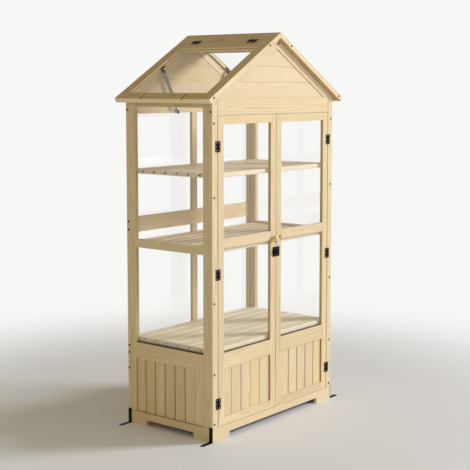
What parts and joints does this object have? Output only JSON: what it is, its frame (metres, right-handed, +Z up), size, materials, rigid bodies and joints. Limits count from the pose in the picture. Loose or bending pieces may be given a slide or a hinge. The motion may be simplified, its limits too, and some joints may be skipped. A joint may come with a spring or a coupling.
{
  "type": "mini greenhouse",
  "caption": "Tall wooden mini greenhouse cabinet: glazed double doors, glazed sides, boarded lower panels, three slatted shelves and a gable roof with two hinged lids.",
  "frame": {"origin": "On the ground in the middle of the body's plan, under the feet.", "axes": "+X along the front to the viewer's right, +Y from the front to the back, +Z up; the doors face -Y"},
  "size_m": [1.12, 0.602, 1.929],
  "materials": {
    "softwood_frame": "planed softwood, clear satin oil",
    "softwood_boards": "planed tongue and groove softwood, clear satin oil",
    "softwood_roof": "planed softwood, clear satin oil, weathered side",
    "clear_pane": "clear polished sheet",
    "black_steel": "satin black powder coat",
    "strut_steel": "satin grey tube",
    "strut_rod_steel": "polished rod"
  },
  "bodies": {
    "cabinet": {"front_posts": "softwood_frame", "front_base_rail": "softwood_frame", "front_header": "softwood_frame", "front_rakes": "softwood_frame", "front_gable_boards": "softwood_boards", "back_posts": "softwood_frame", "back_base_rail": "softwood_frame", "back_header": "softwood_frame", "back_cross_rails": "softwood_frame", "back_mullions": "softwood_frame", "back_boards": "softwood_boards", "back_panes": "clear_pane", "back_rakes": "softwood_frame", "back_gable_boards": "softwood_boards", "side_left_stiles": "softwood_frame", "side_left_window_rails": "softwood_frame", "side_left_panel_rail": "softwood_frame", "side_left_base_rail": "softwood_frame", "side_left_boards": "softwood_boards", "side_left_panes": "clear_pane", "side_right_stiles": "softwood_frame", "side_right_window_rails": "softwood_frame", "side_right_panel_rail": "softwood_frame", "side_right_base_rail": "softwood_frame", "side_right_boards": "softwood_boards", "side_right_panes": "clear_pane", "ridge_boards": "softwood_roof", "shelf_bottom": "softwood_boards", "shelf_middle": "softwood_boards", "shelf_top": "softwood_boards", "shelf_blocks": "softwood_frame", "hinge_leaves_fixed": "black_steel", "strut_foot_brackets": "strut_steel", "ground_anchors": "black_steel"},
    "door_left": {"door_left_frame": "softwood_frame", "door_left_boards": "softwood_boards", "door_left_panes": "clear_pane", "door_left_knob": "softwood_frame", "door_left_hinge_leaves": "black_steel", "latch_plate": "black_steel"},
    "door_right": {"door_right_frame": "softwood_frame", "door_right_boards": "softwood_boards", "door_right_panes": "clear_pane", "door_right_knob": "softwood_frame", "door_right_hinge_leaves": "black_steel", "latch_keeper": "black_steel"},
    "latch_bolt": {"latch_bolt": "black_steel"},
    "lid_left": {"lid_left_frame": "softwood_roof", "lid_left_pane": "clear_pane", "lid_left_hinge_leaves": "black_steel", "lid_left_strut_bracket": "black_steel"},
    "lid_right": {"lid_right_frame": "softwood_roof", "lid_right_pane": "clear_pane", "lid_right_hinge_leaves": "black_steel", "lid_right_strut_bracket": "black_steel"},
    "strut_left_cylinder": {"strut_left_cylinder": "strut_steel"},
    "strut_left_rod": {"strut_left_rod": "strut_rod_steel"},
    "strut_right_cylinder": {"strut_right_cylinder": "strut_steel"},
    "strut_right_rod": {"strut_right_rod": "strut_rod_steel"}
  },
  "joints": [
    {"name": "door_left_hinge", "type": "hinge", "parent": "cabinet", "child": "door_left", "pos_m": [-0.449, -0.2762, 0.8], "axis": [0, 0, 1], "range_deg": [-170, 0]},
    {"name": "door_right_hinge", "type": "hinge", "parent": "cabinet", "child": "door_right", "pos_m": [0.449, -0.2762, 0.8], "axis": [0, 0, 1], "range_deg": [0, 170]},
    {"name": "latch_slide", "type": "slide", "parent": "door_left", "child": "latch_bolt", "axis": [1, 0, 0], "range_m": [0, 0.0115]},
    {"name": "lid_left_hinge", "type": "hinge", "parent": "cabinet", "child": "lid_left", "pos_m": [-0.07314, 0, 1.88962], "axis": [0, 1, 0], "range_deg": [0, 25]},
    {"name": "strut_left_swing", "type": "hinge", "parent": "lid_left", "child": "strut_left_cylinder", "pos_m": [-0.25654, 0.234, 1.74189], "axis": [0, 1, 0], "range_deg": [-24.9, 0]},
    {"name": "strut_left_stroke", "type": "slide", "parent": "strut_left_cylinder", "child": "strut_left_rod", "axis": [0.4562, 0, -0.8899], "range_m": [0, 0.1022]},
    {"name": "lid_right_hinge", "type": "hinge", "parent": "cabinet", "child": "lid_right", "pos_m": [0.07314, 0, 1.88962], "axis": [0, -1, 0], "range_deg": [0, 25]},
    {"name": "strut_right_swing", "type": "hinge", "parent": "lid_right", "child": "strut_right_cylinder", "pos_m": [0.25654, 0.234, 1.74189], "axis": [0, -1, 0], "range_deg": [-24.9, 0]},
    {"name": "strut_right_stroke", "type": "slide", "parent": "strut_right_cylinder", "child": "strut_right_rod", "axis": [-0.4562, 0, -0.8899], "range_m": [0, 0.1022]}
  ],
  "couplings": [
    {"joint": "strut_left_swing", "follows": "lid_left_hinge", "ratio": -0.9903},
    {"joint": "strut_left_stroke", "follows": "lid_left_hinge", "m_per_rad": 0.23362},
    {"joint": "strut_right_swing", "follows": "lid_right_hinge", "ratio": -0.9903},
    {"joint": "strut_right_stroke", "follows": "lid_right_hinge", "m_per_rad": 0.23362}
  ]
}
